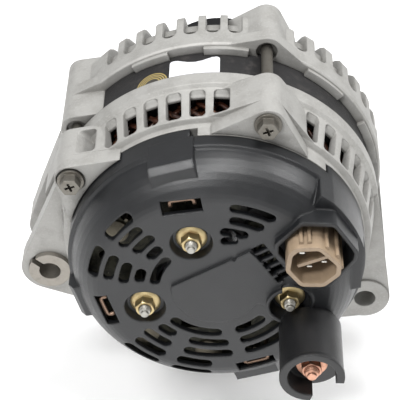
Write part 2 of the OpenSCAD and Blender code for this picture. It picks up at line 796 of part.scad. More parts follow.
module front_outer_race() color(bare_steel) outer_race(19.4, 23.5, front_bearing_s, front_bearing_w, 16, 4.4);
module front_inner_race() color(bare_steel) outer_race(8.5, 12.6, front_bearing_s, front_bearing_w, 16, 4.4);
module front_balls() color(bare_steel) ball_set(7, 16, 4.4, front_mid_s);
module front_cage() color(dark_plastic) ball_cage(7, 16, 4.4, front_mid_s, 1.2);
module front_seals() color(dark_plastic) for (s = [front_bearing_s + 0.6, front_bearing_s + front_bearing_w - 1.4]) ring(12.9, 19.38, s, s + 0.8);

module retainer_plate() color(bare_steel) slab(94.2, 96 - eps) difference() {
  rounded_polygon([[28, 28], [-28, 28], [-28, -28], [28, -28]], 9);
  circle(19);
  for (i = [0:3]) rotate(45 + i * 90) translate([32, 0]) circle(2.05);
}

module retainer_screws() color(bare_steel) for (i = [0:3]) {
  bar(polar(32, 45 + i * 90), 2, 94, 99.6);
  bar(polar(32, 45 + i * 90), 3.3, 92.4, 94.2 - eps);
}

// ---- Rotor ----

module shaft() color(bare_steel) turned() polygon([
  [0, 6], [4.6, 6], [5, 6.4], [5, 27.5], [7.49, 28.5], [7.49, 43], [8.5, 44], [8.5, 96],
  [8.49, 97], [8.49, 112], [8.4, 112], [8.4, 141], [7.9, 142], [7.9, 152], [7, 153], [0, 153]
]);

claws = 8;
claw_r0 = 45;

// Tapered claw over the field coil, from the pole's plate to its tip
module claw_fingers(root_s, tip_s, turn) intersection() {
  ring(claw_r0, pole_r, min(root_s, tip_s), max(root_s, tip_s));
  union() for (i = [0:claws - 1]) translate([0, -belt_station, 0]) rotate([0, -(turn + i * 360 / claws), 0])
    translate([40, 0, 0]) rotate([0, 90, 0]) linear_extrude(16)
      polygon([[-10.5, root_s], [10.5, root_s], [4, tip_s], [-4, tip_s]]);
}

module pole_plate(s0, s1, turn) slab(s0, s1) difference() {
  union() {
    circle(34);
    for (i = [0:claws - 1]) rotate(turn + i * 360 / claws) polygon([[0, -8], [47, -9.6], [47, 9.6], [0, 8]]);
  }
  circle(8.52);
}

module rear_pole() color(core_steel) {
  pole_plate(pole_rear_s, 63, 0);
  claw_fingers(pole_rear_s + 0.1, pole_front_s - 1, 0);
  ring(8.52, 24, 62.9, 71 - eps);
}

module front_pole() color(core_steel) {
  pole_plate(79, pole_front_s, 180 / claws);
  claw_fingers(pole_front_s - 0.1, pole_rear_s + 1, 180 / claws);
  ring(8.52, 24, 71, 79.1);
}

module field_bobbin() color(dark_plastic) difference() {
  ring(24.05, 43.6, 63.3, 78.7);
  ring(25.6, 44, 64.6, 77.4);
}

module field_coil() color(enamelled_copper) ring(25.65, 43, 64.65, 77.35);

module slip_ring_moulding() color(dark_plastic) difference() {
  ring(5.01, 6.6, 7, 27);
  for (s = [outer_ring_s, inner_ring_s]) ring(6, 8, s - eps, s + ring_w + eps);
}

module slip_rings() color(copper) for (s = [outer_ring_s, inner_ring_s]) ring(6.02, ring_r, s, s + ring_w);

// Fan of curved blades standing on a thin disc
module fan(disc_s0, disc_s1, blade_s0, blade_s1, root_r, blades, lean) {
  ring(9, 40, disc_s0, disc_s1);
  for (i = [0:blades - 1]) slab(blade_s0, blade_s1) rotate(i * 360 / blades) intersection() {
    translate([37, lean * 16]) difference() {
      circle(18);
      circle(16.6);
    }
    difference() {
      circle(49);
      circle(root_r);
    }
    translate([20, lean > 0 ? -6 : -14]) square([40, 20]);
  }
}

module rear_fan() color(bare_steel) fan(51.4, 53 - eps, 43, 51.5, 27, 11, 1);
module front_fan() color(bare_steel) fan(89 + eps, 90.4, 90.3, 98.5, 37, 12, -1);

rib_pitch = 3.56;

function rib_profile(n, r, mid_s) = [
  for (i = [0:n - 1])
    let (s = mid_s + (i - (n - 1) / 2) * rib_pitch)
    each [[r, s - 1.35], [r - 2.8, s - 0.25], [r - 2.8, s + 0.25], [r, s + 1.35]]
];

module pulley() color(bare_steel) turned() polygon(concat(
  [[8.42, pulley_rear_s], [18, pulley_rear_s], [24, pulley_rear_s + 0.6], [pulley_r + 1.4, pulley_rear_s + 0.6], [pulley_r + 1.4, belt_station - belt_ribs * rib_pitch / 2 - 0.6]],
  rib_profile(belt_ribs, pulley_r, belt_station),
  [[pulley_r + 1.4, belt_station + belt_ribs * rib_pitch / 2 + 0.6], [pulley_r + 1.4, pulley_front_s - 1],
    [cup_r, pulley_front_s + 1], [cup_r, cup_front_s - 1.2], [cup_r - 1.2, cup_front_s], [cup_r - 7, cup_front_s],
    [cup_r - 9, pulley_front_s], [19, pulley_front_s], [18.4, pulley_front_s - 6], [8.42, pulley_front_s - 6]]
));

module pulley_collar() color(bare_steel) ring(8.52, 12.4, 111 + eps, pulley_rear_s - eps);

module pulley_nut() color(bare_steel) difference() {
  union() {
    bar([0, 0], 14, 136 + eps, 138);
    bar([0, 0], 13.4, 138, 149, 6);
  }
  bar([0, 0], 7.92, 142, 150);
  bar([0, 0], 8.42, 130, 142 + eps);
}

// ---- Labels ----

module label_plate() color([0.93, 0.93, 0.95]) turned(89.2, 18.4)
  polygon([[stator_r + 0.05, 60], [stator_r + 0.25, 60], [stator_r + 0.25, 74.2], [stator_r + 0.05, 74.2]]);

module round_sticker() color([0.75, 0.65, 0.3]) intersection() {
  ring(stator_r + 0.05, stator_r + 0.25, 59.2, 77);
  translate([0, 61.5 - belt_station, 0]) rotate([0, -114, 0]) translate([60, 0, 0]) rotate([0, 90, 0]) cylinder(h = 20, r = 7.6);
}

rear_cover();
cover_studs();
cover_nuts();
rear_housing();
front_housing();
ear_bushing();
stator_core();
stator_winding();
lead_clips();
long_through_bolts();
short_through_bolts();
connector_body();
connector_pins();
regulator();
regulator_heat_sink();
brush_holder();
holder_screws();
inner_brush();
outer_brush();
inner_brush_spring();
outer_brush_spring();
positive_plate();
negative_plate();
diodes();
plate_spacers();
terminal_stud();
terminal_nut();
terminal_shroud();
rear_outer_race();
rear_inner_race();
rear_balls();
rear_cage();
rear_seals();
front_outer_race();
front_inner_race();
front_balls();
front_cage();
front_seals();
retainer_plate();
retainer_screws();
shaft();
rear_pole();
front_pole();
field_bobbin();
field_coil();
slip_ring_moulding();
slip_rings();
rear_fan();
front_fan();
pulley();
pulley_collar();
pulley_nut();
label_plate();
round_sticker();
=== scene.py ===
"""Looks for the car alternator: materials, hairpin winding, threaded and flanged
fasteners, lead strips, brush coils, films, and a studio with the camera behind and
above the rear cover."""

import json
import math

import bmesh
import bpy
from mathutils import Matrix, Vector


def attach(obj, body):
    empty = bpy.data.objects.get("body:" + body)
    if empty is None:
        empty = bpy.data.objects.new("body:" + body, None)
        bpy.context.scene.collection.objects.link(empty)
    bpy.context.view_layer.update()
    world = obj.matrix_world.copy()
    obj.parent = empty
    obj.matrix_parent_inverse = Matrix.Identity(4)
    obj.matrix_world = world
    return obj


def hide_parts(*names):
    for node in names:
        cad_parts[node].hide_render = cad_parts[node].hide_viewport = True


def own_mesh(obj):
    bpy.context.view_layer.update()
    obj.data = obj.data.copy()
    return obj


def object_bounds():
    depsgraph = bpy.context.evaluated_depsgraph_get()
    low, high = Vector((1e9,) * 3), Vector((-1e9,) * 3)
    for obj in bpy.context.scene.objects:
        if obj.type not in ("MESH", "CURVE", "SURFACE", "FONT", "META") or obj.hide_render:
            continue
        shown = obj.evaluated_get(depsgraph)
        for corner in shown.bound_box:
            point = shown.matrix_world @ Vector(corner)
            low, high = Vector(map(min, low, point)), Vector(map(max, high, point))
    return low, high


MM = 0.001
BELT_STATION = 128  # the frame's origin, in mm forward of the rear cover's flat face

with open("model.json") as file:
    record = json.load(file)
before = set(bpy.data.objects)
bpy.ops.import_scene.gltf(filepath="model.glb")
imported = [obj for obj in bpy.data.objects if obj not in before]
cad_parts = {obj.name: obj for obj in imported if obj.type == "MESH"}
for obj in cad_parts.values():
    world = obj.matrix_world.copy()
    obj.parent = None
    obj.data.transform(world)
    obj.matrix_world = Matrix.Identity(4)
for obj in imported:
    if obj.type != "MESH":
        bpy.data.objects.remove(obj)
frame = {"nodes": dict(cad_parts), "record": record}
cad_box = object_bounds()
node = frame["nodes"]


# ---- Small helpers -------------------------------------------------------


def spot(radius, clock, station):
    """A point in mm from its radius and clock angle about the shaft, and its station."""
    a = math.radians(clock)
    return Vector((radius * math.cos(a), station, radius * math.sin(a)))


def in_frame(p):
    """A point in mm, with its station as y, as a point of the frame in metres."""
    return Vector((p.x, p.y - BELT_STATION, p.z)) * MM


def from_shaft(p):
    """The direction straight out from the shaft at a point."""
    return Vector((p.x, 0, p.z)).normalized()


def steps(start, stop, size):
    """Even steps of about the given size, with both ends."""
    n = max(1, round(abs(stop - start) / size))
    return [start + (stop - start) * i / n for i in range(n + 1)]


# ---- Materials -----------------------------------------------------------


class Paint:
    """A node material whose parts are added one call at a time."""

    def __init__(self, name, colour, rough, metal=0.0, specular=0.5, coat=0.0, coat_rough=0.1):
        self.material = bpy.data.materials.new(name)
        self.material.use_nodes = True
        self.nodes = self.material.node_tree.nodes
        self.links = self.material.node_tree.links
        self.shader = self.nodes["Principled BSDF"]
        self.shader.inputs["Metallic"].default_value = metal
        self.shader.inputs["Specular IOR Level"].default_value = specular
        self.shader.inputs["Coat Weight"].default_value = coat
        self.shader.inputs["Coat Roughness"].default_value = coat_rough
        self.place = self.nodes.new("ShaderNodeTexCoord").outputs["Object"]
        self.colour = self.constant(colour)
        self.rough = self.value(rough)
        self.normal = None

    def constant(self, colour):
        rgb = self.nodes.new("ShaderNodeRGB")
        rgb.outputs[0].default_value = (*colour, 1)
        return rgb.outputs[0]

    def value(self, number):
        v = self.nodes.new("ShaderNodeValue")
        v.outputs[0].default_value = number
        return v.outputs[0]

    def noise(self, size_mm, detail=4, rough=0.55):
        """Noise with features about size_mm across, from 0 to 1."""
        n = self.nodes.new("ShaderNodeTexNoise")
        n.inputs["Scale"].default_value = 1 / (size_mm * MM)
        n.inputs["Detail"].default_value = detail
        n.inputs["Roughness"].default_value = rough
        self.links.new(self.place, n.inputs["Vector"])
        return n.outputs["Fac"]

    def turning(self, bands_per_mm):
        """Fine rings round the shaft axis, as a lathe leaves, from 0 to 1."""
        separate = self.nodes.new("ShaderNodeSeparateXYZ")
        self.links.new(self.place, separate.inputs[0])
        wave = self.nodes.new("ShaderNodeTexNoise")
        wave.noise_dimensions = "1D"
        wave.inputs["Scale"].default_value = bands_per_mm / MM
        wave.inputs["Detail"].default_value = 2
        self.links.new(separate.outputs["Y"], wave.inputs["W"])
        return wave.outputs["Fac"]

    def ramp(self, source, low, high, to_low=0.0, to_high=1.0):
        """Eases from to_low to to_high as the source goes from low to high."""
        r = self.nodes.new("ShaderNodeMapRange")
        r.interpolation_type = "SMOOTHSTEP"
        limits = {"From Min": low, "From Max": high, "To Min": to_low, "To Max": to_high}
        for name, number in limits.items():
            r.inputs[name].default_value = number
        self.links.new(source, r.inputs["Value"])
        return r.outputs["Result"]

    def mix(self, share, colour):
        """Mixes a colour into the base colour by share."""
        m = self.nodes.new("ShaderNodeMix")
        m.data_type = "RGBA"
        self.links.new(share, m.inputs["Factor"])
        self.links.new(self.colour, m.inputs["A"])
        self.links.new(self.constant(colour), m.inputs["B"])
        self.colour = m.outputs["Result"]

    def roughen(self, share, amount):
        """Adds amount times share to the roughness."""
        m = self.nodes.new("ShaderNodeMath")
        m.operation = "MULTIPLY_ADD"
        m.use_clamp = True
        m.inputs[1].default_value = amount
        self.links.new(share, m.inputs[0])
        self.links.new(self.rough, m.inputs[2])
        self.rough = m.outputs[0]

    def round_edges(self, radius_mm):
        """Softens the shading of edges, under any bump added later."""
        b = self.nodes.new("ShaderNodeBevel")
        b.samples = 4
        b.inputs["Radius"].default_value = radius_mm * MM
        self.normal = b.outputs["Normal"]

    def bump(self, source, depth_mm, strength=1.0):
        """Adds shallow relief on top of the relief that is already there."""
        b = self.nodes.new("ShaderNodeBump")
        b.inputs["Distance"].default_value = depth_mm * MM
        b.inputs["Strength"].default_value = strength
        self.links.new(source, b.inputs["Height"])
        if self.normal is not None:
            self.links.new(self.normal, b.inputs["Normal"])
        self.normal = b.outputs["Normal"]

    def paint_corner_shade(self, reach_mm, colour, most=0.8):
        """Paints shade into the colour: darkens the places that less light reaches, such as inside corners.
        """
        hollow = self.nodes.new("ShaderNodeAmbientOcclusion")
        hollow.samples = 6
        hollow.inputs["Distance"].default_value = reach_mm * MM
        self.mix(self.ramp(hollow.outputs["AO"], 0.85, 0.25, 0, most), colour)

    def done(self):
        self.links.new(self.colour, self.shader.inputs["Base Color"])
        self.links.new(self.rough, self.shader.inputs["Roughness"])
        if self.normal is not None:
            self.links.new(self.normal, self.shader.inputs["Normal"])
        return self.material


def tinted(colour, factor):
    """A darker or lighter tone of a colour."""
    return tuple(min(1, c * factor) for c in colour)


def cast_aluminium():
    p = Paint("cast_aluminium", (0.33, 0.325, 0.31), 0.46, metal=0.35, specular=0.45)
    p.round_edges(0.9)
    p.mix(p.ramp(p.noise(9, 5), 0.42, 0.66), (0.285, 0.28, 0.265))
    p.mix(p.ramp(p.noise(1.1, 6, 0.7), 0.5, 0.8), (0.4, 0.395, 0.38))
    p.mix(p.ramp(p.noise(3.0, 5, 0.7), 0.64, 0.82), (0.2, 0.195, 0.185))
    p.mix(p.ramp(p.noise(0.8, 3, 0.6), 0.7, 0.78, 0, 0.7), (0.12, 0.115, 0.11))
    # Painted shade: the casting's colour darkens in corners and crevices, where less light reaches.
    p.paint_corner_shade(7, (0.11, 0.105, 0.095))
    p.roughen(p.noise(0.7, 4), 0.22)
    p.bump(p.noise(0.55, 5, 0.65), 0.2, 0.5)
    p.bump(p.noise(6, 3), 0.5, 0.3)
    return p.done()


def black_plastic(name, colour, rough):
    p = Paint(name, colour, rough)
    p.round_edges(1.3)
    p.mix(p.ramp(p.noise(14, 4), 0.4, 0.7), tinted(colour, 1.4))
    p.mix(p.ramp(p.noise(0.7, 4, 0.7), 0.62, 0.85), tinted(colour, 3))
    p.roughen(p.noise(5, 4), 0.14)
    p.bump(p.noise(0.5, 3, 0.6), 0.13, 0.8)
    return p.done()


def metal(name, colour, rough, dirt=(0.2, 0.19, 0.17), grain=0.4):
    """Bright metal with patches of dirt and a grain of that size in mm."""
    p = Paint(name, colour, rough, metal=0.95)
    p.round_edges(0.3)
    p.mix(p.ramp(p.noise(3.2, 5), 0.5, 0.75, 0, 0.55), dirt)
    p.mix(p.ramp(p.noise(0.8, 4), 0.5, 0.8, 0, 0.4), tinted(colour, 1.25))
    p.roughen(p.noise(1.6, 4), 0.2)
    p.bump(p.noise(grain, 3), 0.03, 0.5)
    return p.done()


def turned_metal(name, colour, rough):
    p = Paint(name, colour, rough, metal=0.95)
    p.round_edges(0.25)
    p.mix(p.ramp(p.turning(4), 0.35, 0.7, 0, 0.6), tinted(colour, 0.75))
    p.mix(p.ramp(p.noise(5, 4), 0.5, 0.8, 0, 0.4), tinted(colour, 0.6))
    p.roughen(p.turning(7), 0.2)
    p.bump(p.turning(6), 0.02, 0.5)
    return p.done()


def laminated_core():
    """Black-painted steel sheets, one on another along the shaft."""
    p = Paint("laminated_core", (0.012, 0.0115, 0.012), 0.45, metal=0.2)
    p.mix(p.ramp(p.noise(4, 5), 0.5, 0.75), (0.03, 0.027, 0.026))
    p.mix(p.ramp(p.noise(1.3, 5, 0.7), 0.62, 0.8, 0, 0.6), (0.1, 0.095, 0.09))
    p.roughen(p.noise(2, 4), 0.2)
    p.bump(p.turning(2.2), 0.16, 0.6)
    p.bump(p.noise(1.5, 5, 0.65), 0.3, 0.5)
    return p.done()


def varnished_copper():
    p = Paint("varnished_copper", (0.05, 0.016, 0.008), 0.26, metal=0.4, coat=0.7, coat_rough=0.15)
    p.round_edges(0.3)
    p.mix(p.ramp(p.noise(5, 4), 0.4, 0.7), (0.012, 0.006, 0.005))
    p.mix(p.ramp(p.noise(2.5, 4), 0.55, 0.75), (0.26, 0.1, 0.045))
    p.roughen(p.noise(1.5, 3), 0.2)
    p.bump(p.noise(1.2, 3), 0.08, 0.4)
    return p.done()


def varnished_plate():
    """Aluminium plate under dull brown-green varnish."""
    p = Paint("varnished_plate", (0.06, 0.058, 0.04), 0.42, metal=0.5)
    p.round_edges(0.3)
    p.mix(p.ramp(p.noise(4, 5), 0.4, 0.65), (0.02, 0.02, 0.015))
    p.mix(p.ramp(p.noise(1.4, 5), 0.6, 0.75, 0, 0.8), (0.2, 0.19, 0.13))
    p.roughen(p.noise(2, 3), 0.2)
    p.bump(p.noise(1.2, 4), 0.15, 0.5)
    return p.done()


def moulded(name, colour, rough):
    """Plain moulded plastic, rubber or carbon."""
    p = Paint(name, colour, rough, specular=0.45)
    p.round_edges(0.35)
    p.mix(p.ramp(p.noise(6, 4), 0.4, 0.7), tinted(colour, 0.86))
    p.mix(p.ramp(p.noise(0.7, 4), 0.6, 0.85, 0, 0.6), tinted(colour, 1.25))
    p.roughen(p.noise(2, 3), 0.15)
    p.bump(p.noise(0.35, 3), 0.03, 0.4)
    return p.done()


def blank_film():
    """White film, a little uneven where it is stuck down."""
    colour = (0.62, 0.62, 0.65)
    p = Paint("label_film", colour, 0.3, coat=0.5)
    p.mix(p.ramp(p.noise(6, 3), 0.45, 0.8, 0, 0.35), tinted(colour, 0.8))
    p.roughen(p.noise(2, 3), 0.12)
    p.bump(p.noise(7, 2), 0.05, 0.3)
    return p.done()


def ringed_film():
    """Dark film printed with gold rings round the piece's own middle."""
    dark, gold = (0.03, 0.026, 0.02), (0.33, 0.25, 0.08)
    ring_step = 0.55 * MM
    blank_middle = 3.4 * MM
    p = Paint("ringed_film", dark, 0.3, metal=0.2, coat=0.5)
    distance_out = p.nodes.new("ShaderNodeVectorMath")
    distance_out.operation = "LENGTH"
    p.links.new(p.place, distance_out.inputs[0])
    wave = p.nodes.new("ShaderNodeMath")
    wave.operation = "PINGPONG"
    wave.inputs[1].default_value = ring_step
    p.links.new(distance_out.outputs["Value"], wave.inputs[0])
    p.mix(p.ramp(wave.outputs[0], 0.2 * MM, 0.3 * MM), gold)
    p.mix(p.ramp(distance_out.outputs["Value"], blank_middle, blank_middle - 0.2 * MM), dark)
    p.roughen(p.noise(2, 3), 0.12)
    p.bump(p.noise(7, 2), 0.05, 0.3)
    return p.done()


paint = {
    "cast_aluminium": cast_aluminium(),
    "cover_plastic": black_plastic("black_plastic", (0.006, 0.0065, 0.0075), 0.3),
    "shroud_plastic": black_plastic("shroud_plastic", (0.006, 0.006, 0.0065), 0.34),
    "regulator_plastic": black_plastic("regulator_plastic", (0.008, 0.008, 0.008), 0.5),
    "stud_steel": metal("stud_steel", (0.36, 0.35, 0.32), 0.36),
    "zinc_plate": metal("zinc_plate", (0.46, 0.37, 0.2), 0.3, dirt=(0.3, 0.17, 0.08)),
    "bushing_steel": metal("bushing_steel", (0.3, 0.28, 0.25), 0.42),
    "core_steel": laminated_core(),
    "enamelled_copper": varnished_copper(),
    "bare_copper": metal("bare_copper", (0.22, 0.15, 0.11), 0.34, dirt=(0.13, 0.08, 0.05)),
    "terminal_copper": metal("terminal_copper", (0.55, 0.31, 0.22), 0.34, dirt=(0.3, 0.15, 0.1)),
    "bolt_steel": metal("bolt_steel", (0.18, 0.17, 0.15), 0.36, dirt=(0.12, 0.1, 0.08)),
    "connector_plastic": moulded("connector_plastic", (0.27, 0.2, 0.135), 0.36),
    "tinned_pin": metal("tinned_pin", (0.7, 0.69, 0.65), 0.25),
    "heat_sink_aluminium": varnished_plate(),
    "brush_carbon": moulded("brush_carbon", (0.05, 0.045, 0.04), 0.6),
    "spring_steel": metal("spring_steel", (0.55, 0.55, 0.55), 0.3),
    "diode_steel": metal("diode_steel", (0.2, 0.18, 0.14), 0.4, dirt=(0.05, 0.045, 0.03)),
    "bearing_steel": turned_metal("bearing_steel", (0.7, 0.7, 0.71), 0.15),
    "cage_plastic": moulded("cage_plastic", (0.35, 0.27, 0.17), 0.5),
    "seal_rubber": moulded("seal_rubber", (0.02, 0.02, 0.02), 0.6),
    "shaft_steel": turned_metal("shaft_steel", (0.6, 0.6, 0.61), 0.2),
    "fan_steel": metal("fan_steel", (0.4, 0.4, 0.41), 0.4, grain=0.8),
    "pulley_steel": turned_metal("pulley_steel", (0.03, 0.03, 0.032), 0.4),
    "label_film": blank_film(),
    "sticker_film": ringed_film(),
}


def dress(obj, slot_name):
    """Gives a piece its one material, the one painted for the slot name given."""
    obj.data.materials.clear()
    obj.data.materials.append(paint[slot_name])


slot_of = {s["node"]: s["material_slot"] for s in frame["record"]["subparts"]}
for name, obj in node.items():
    dress(obj, slot_of[name])


# ---- Shape builder -------------------------------------------------------


class Shape:
    """A mesh put together from turned and swept parts. Points are in mm: x, station, z."""

    def __init__(self):
        self.points = []
        self.faces = []

    def skin(self, rows, closed=False):
        """Quads between rows of points that each go once round, with flat ends unless closed."""
        start, n = len(self.points), len(rows[0])
        for row in rows:
            self.points += row
        for i in range(len(rows) if closed else len(rows) - 1):
            here = start + i * n
            there = start + (i + 1) % len(rows) * n
            for j in range(n):
                m = (j + 1) % n
                self.faces.append((here + j, here + m, there + m, there + j))
        if not closed:
            end = start + (len(rows) - 1) * n
            self.faces.append(tuple(start + j for j in reversed(range(n))))
            self.faces.append(tuple(end + j for j in range(n)))
        return self

    def turned(self, profile, centre=(0, 0), around=64, radius=None, closed=False):
        """A profile of (radius, station) turned about a line along the shaft direction.
        A radius rule may change each radius by its station and angle."""
        rows = []
        for r, station in profile:
            row = []
            for j in range(around):
                a = 2 * math.pi * j / around
                q = radius(r, station, a) if radius else r
                row.append(Vector((centre[0] + q * math.cos(a), station, centre[1] + q * math.sin(a))))
            rows.append(row)
        return self.skin(rows, closed)

    def swept(self, path, outward, section):
        """A section of (out, across) offsets carried along a path; outward(point) is its first direction."""
        rows = []
        for i, p in enumerate(path):
            along = (path[min(i + 1, len(path) - 1)] - path[max(i - 1, 0)]).normalized()
            out = outward(p)
            out = (out - along * out.dot(along)).normalized()
            across = along.cross(out)
            rows.append([p + out * u + across * v for u, v in section])
        return self.skin(rows)

    def build(self, name, slot_name, body, stands_for, sharp=35):
        """Makes the piece, on its body, in place of the node that it stands for."""
        bm = bmesh.new()
        corners = [bm.verts.new(in_frame(p)) for p in self.points]
        for f in self.faces:
            bm.faces.new([corners[i] for i in f])
        bmesh.ops.recalc_face_normals(bm, faces=bm.faces)
        mesh = bpy.data.meshes.new(name)
        bm.to_mesh(mesh)
        bm.free()
        mesh.polygons.foreach_set("use_smooth", [True] * len(mesh.polygons))
        mesh.set_sharp_from_angle(angle=math.radians(sharp))
        obj = bpy.data.objects.new(name, mesh)
        bpy.context.scene.collection.objects.link(obj)
        dress(obj, slot_name)
        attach(obj, body)
        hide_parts(stands_for)
        return obj


def chamfered(w, h, c):
    """A w by h rectangle with its corners cut off by c."""
    x, y = w / 2, h / 2
    right_side = [(x, y - c), (x - c, y), (c - x, y), (-x, y - c)]
    left_side = [(-x, c - y), (c - x, -y), (x - c, -y), (x, c - y)]
    return right_side + left_side


def hexagon(flat, turn=0.0):
    """A radius rule that holds a turned profile inside a hexagon of that half width."""

    def rule(r, _station, a):
        off = (math.degrees(a) - turn + 30) % 60 - 30
        return min(r, flat / math.cos(math.radians(off)))

    return rule


def thread(pitch, depth, s0, s1, crest):
    """A radius rule that cuts a screw thread between two stations, where the profile is at crest."""

    def rule(r, station, a):
        if not s0 < station < s1 or r < crest - 0.01:
            return r
        return r - depth * (0.5 - 0.5 * math.cos(2 * math.pi * (station / pitch) - a))

    return rule


# ---- Winding -------------------------------------------------------------

SLOTS = 48
SLOT_PITCH = 360 / SLOTS
SLOT_REAR, SLOT_FRONT = 53, 85  # stations where the bars leave the core


def end_turn(crown):
    """A V-shaped turn at the rear, as (out from the bar, share of the turn's sweep, station)."""
    leave = [(0.1, 0, SLOT_REAR), (0.1, 0, 50.6), (0.2, 0.1, 48.6)]
    top = [(0.2, 0.47, crown + 0.7), (0.9, 0.5, crown), (1.7, 0.53, crown + 0.7)]
    back = [(1.9, 0.9, 48.6), (2.0, 1, 50.6), (2.0, 1, SLOT_REAR)]
    return leave + top + back


def winding():
    """Hairpins: bars in the slots, end turns at the rear, slanted legs and welded tips at the front."""
    shape = Shape()
    bar, slot_bar, weld = chamfered(1.7, 2.3, 0.4), chamfered(1.9, 2.2, 0.4), chamfered(3.4, 2.0, 0.7)
    turn_sweep = 3 * SLOT_PITCH
    leg_sweep = 10.8
    leg = [(0, SLOT_FRONT), (0.4, 87), (10.4, 94), (leg_sweep, 96.4)]  # degrees round, station
    for i in range(SLOTS):
        a = i * SLOT_PITCH
        for r in (57.1, 59.6, 62.0, 64.2):
            shape.swept([spot(r, a, SLOT_REAR), spot(r, a, SLOT_FRONT)], from_shaft, slot_bar)
        for r, crown in ((57.3, 40.2), (62.1, 38.4)):
            path = [spot(r + out, a + turn_sweep * share, s) for out, share, s in end_turn(crown)]
            shape.swept(path, from_shaft, bar)
        for r, lean in ((57.3, 1), (59.7, -1), (62.1, 1), (64.3, -1)):
            shape.swept([spot(r, a + lean * sweep, s) for sweep, s in leg], from_shaft, bar)
        weld_clock = a + leg_sweep - SLOT_PITCH
        for r in (58.5, 63.2):
            shape.swept([spot(r, weld_clock, 95.6), spot(r, weld_clock, 97.4)], from_shaft, weld)
    shape.build("hairpin_winding", "enamelled_copper", "housing", "stator_winding", sharp=50)


# ---- Fasteners -----------------------------------------------------------

COVER_STUDS = ((-10.5, 26.9), (-31.4, -11.5), (32.6, -7))  # x and z of each stud, in mm
OUTPUT_STUD = (42.1, -24.1)


def cover_fasteners():
    """Studs with pilot tips and spacer sleeves, and nuts with cone-shaped flanges."""
    studs, nuts = Shape(), Shape()
    tip = [(0.4, -5), (1.4, -5), (1.75, -4.7), (1.75, -3.7), (2.2, -3.5), (2.5, -3.2)]
    threaded = [(2.5, s) for s in steps(-3.1, 5, 0.11)]
    shank = [(2.5, 6), (2.5, 24.9), (0.4, 24.9)]
    sleeve = [(2.6, 6.45), (4.0, 6.45), (4.2, 6.7), (4.2, 29.9), (2.6, 29.9)]
    seat = [(2.55, 3.96), (6.7, 3.96), (6.8, 3.8), (6.8, 3.4)]
    cone = [(6.5, 3.2), (5.6, 2.7), (4.5, 2.4), (2.55, 2.4)]
    nut = [(2.55, 2.9), (4.62, 2.9), (4.62, -0.9), (4.3, -1.25), (3.95, -1.55), (3.1, -1.55), (2.6, -1.1)]
    for centre in COVER_STUDS:
        studs.turned(tip + threaded + shank, centre, 32, thread(0.8, 0.36, -3.1, 5, 2.5))
        studs.turned(sleeve, centre, 32, closed=True)
        nuts.turned(seat + cone, centre, 72, closed=True)
        nuts.turned(nut, centre, 72, hexagon(4.0, 15), closed=True)
    studs.build("threaded_cover_studs", "stud_steel", "housing", "cover_studs")
    nuts.build("flanged_cover_nuts", "zinc_plate", "housing", "cover_nuts")


def output_terminal():
    """The output stud with its hexagon collar, and the nut with its washer."""
    tip = [(0.4, -29.6), (1.8, -29.6), (2.1, -29.3), (2.1, -28.4), (2.6, -28.2), (3, -27.8)]
    threaded = [(3, s) for s in steps(-27.7, -18, 0.13)]
    shank = [(3, -17.5), (3, 14.8), (0.4, 14.8)]
    collar = [(3.02, 14.1), (5.6, 14.1), (5.6, 17.4), (3.02, 17.4)]
    stud = Shape()
    stud.turned(tip + threaded + shank, OUTPUT_STUD, 40, thread(1.0, 0.42, -27.7, -18, 3))
    stud.turned(collar, OUTPUT_STUD, 72, hexagon(4.85), closed=True)
    stud.build("threaded_output_stud", "terminal_copper", "housing", "terminal_stud")
    washer = [(3.06, -20.05), (6.9, -20.05), (7.1, -20.3), (7.1, -21.6), (6.6, -22.15), (3.06, -22.15)]
    body = [(3.06, -22.1), (4.8, -22.1), (4.8, -25.3), (4.45, -25.75), (4.1, -26), (3.5, -26), (3.06, -25.6)]
    nut = Shape()
    nut.turned(washer, OUTPUT_STUD, 72, closed=True)
    nut.turned(body, OUTPUT_STUD, 72, hexagon(4.2, 10), closed=True)
    nut.build("chamfered_terminal_nut", "terminal_copper", "housing", "terminal_nut")


# ---- Lead strips ---------------------------------------------------------

# Radius and clock angle of each strip's middle, the angle that it runs along, and its length.
LEADS = ((49.3, 107, 10, 17.5), (50.4, 196, 107, 18), (50.2, 291.5, 200, 18))
LEAD_BRIDGE = 3.8  # station in front of which a strip stands up, and behind which it lies flat
LEAD_FACE = Vector((0, -1, 0))


def lead_strips():
    """Copper strips that rise through the cover's windows and bend over into flat bridges."""
    shape = Shape()
    for radius, clock, turn, length in LEADS:
        half = length / 2 - 3.55
        a = math.radians(turn)
        along, out = Vector((math.cos(a), 0, math.sin(a))), Vector((-math.sin(a), 0, math.cos(a)))

        # (along, out, station) from one foot to the middle, then the same mirrored.
        foot = [(-half, -1.6, 11.8), (-half, -1.65, 4.6), (-half, -1.4, 3.7)]
        foot += [(-half, -0.6, 3.4), (-half, 0.5, 3.4)]
        corner = [(-half + 0.3, 1.2, 3.4), (-half + 1.1, 1.6, 3.4)]
        other = [(-x, y, s) for x, y, s in reversed(foot + corner)]
        route = foot + corner + [(0, 1.6, 3.4)] + other
        path = [spot(radius, clock, s) + along * x + out * y for x, y, s in route]

        def face(p, out=out):
            return LEAD_FACE + out * 0.002 if p.y < LEAD_BRIDGE else -out

        shape.swept(path, face, chamfered(1.5, 1.8, 0.35))
    shape.build("bent_lead_strips", "bare_copper", "housing", "lead_clips", sharp=50)


# ---- Brush springs -------------------------------------------------------

BRUSH_STATIONS = {"inner_brush": 21, "outer_brush": 12}
COIL_RADIUS, WIRE_RADIUS, COIL_TURNS = 1.7, 0.3, 6
COIL_LOW, COIL_HIGH = -28.2, -20.9  # heights of the coil's two ends
POINTS_PER_TURN, WIRE_SIDES = 18, 8


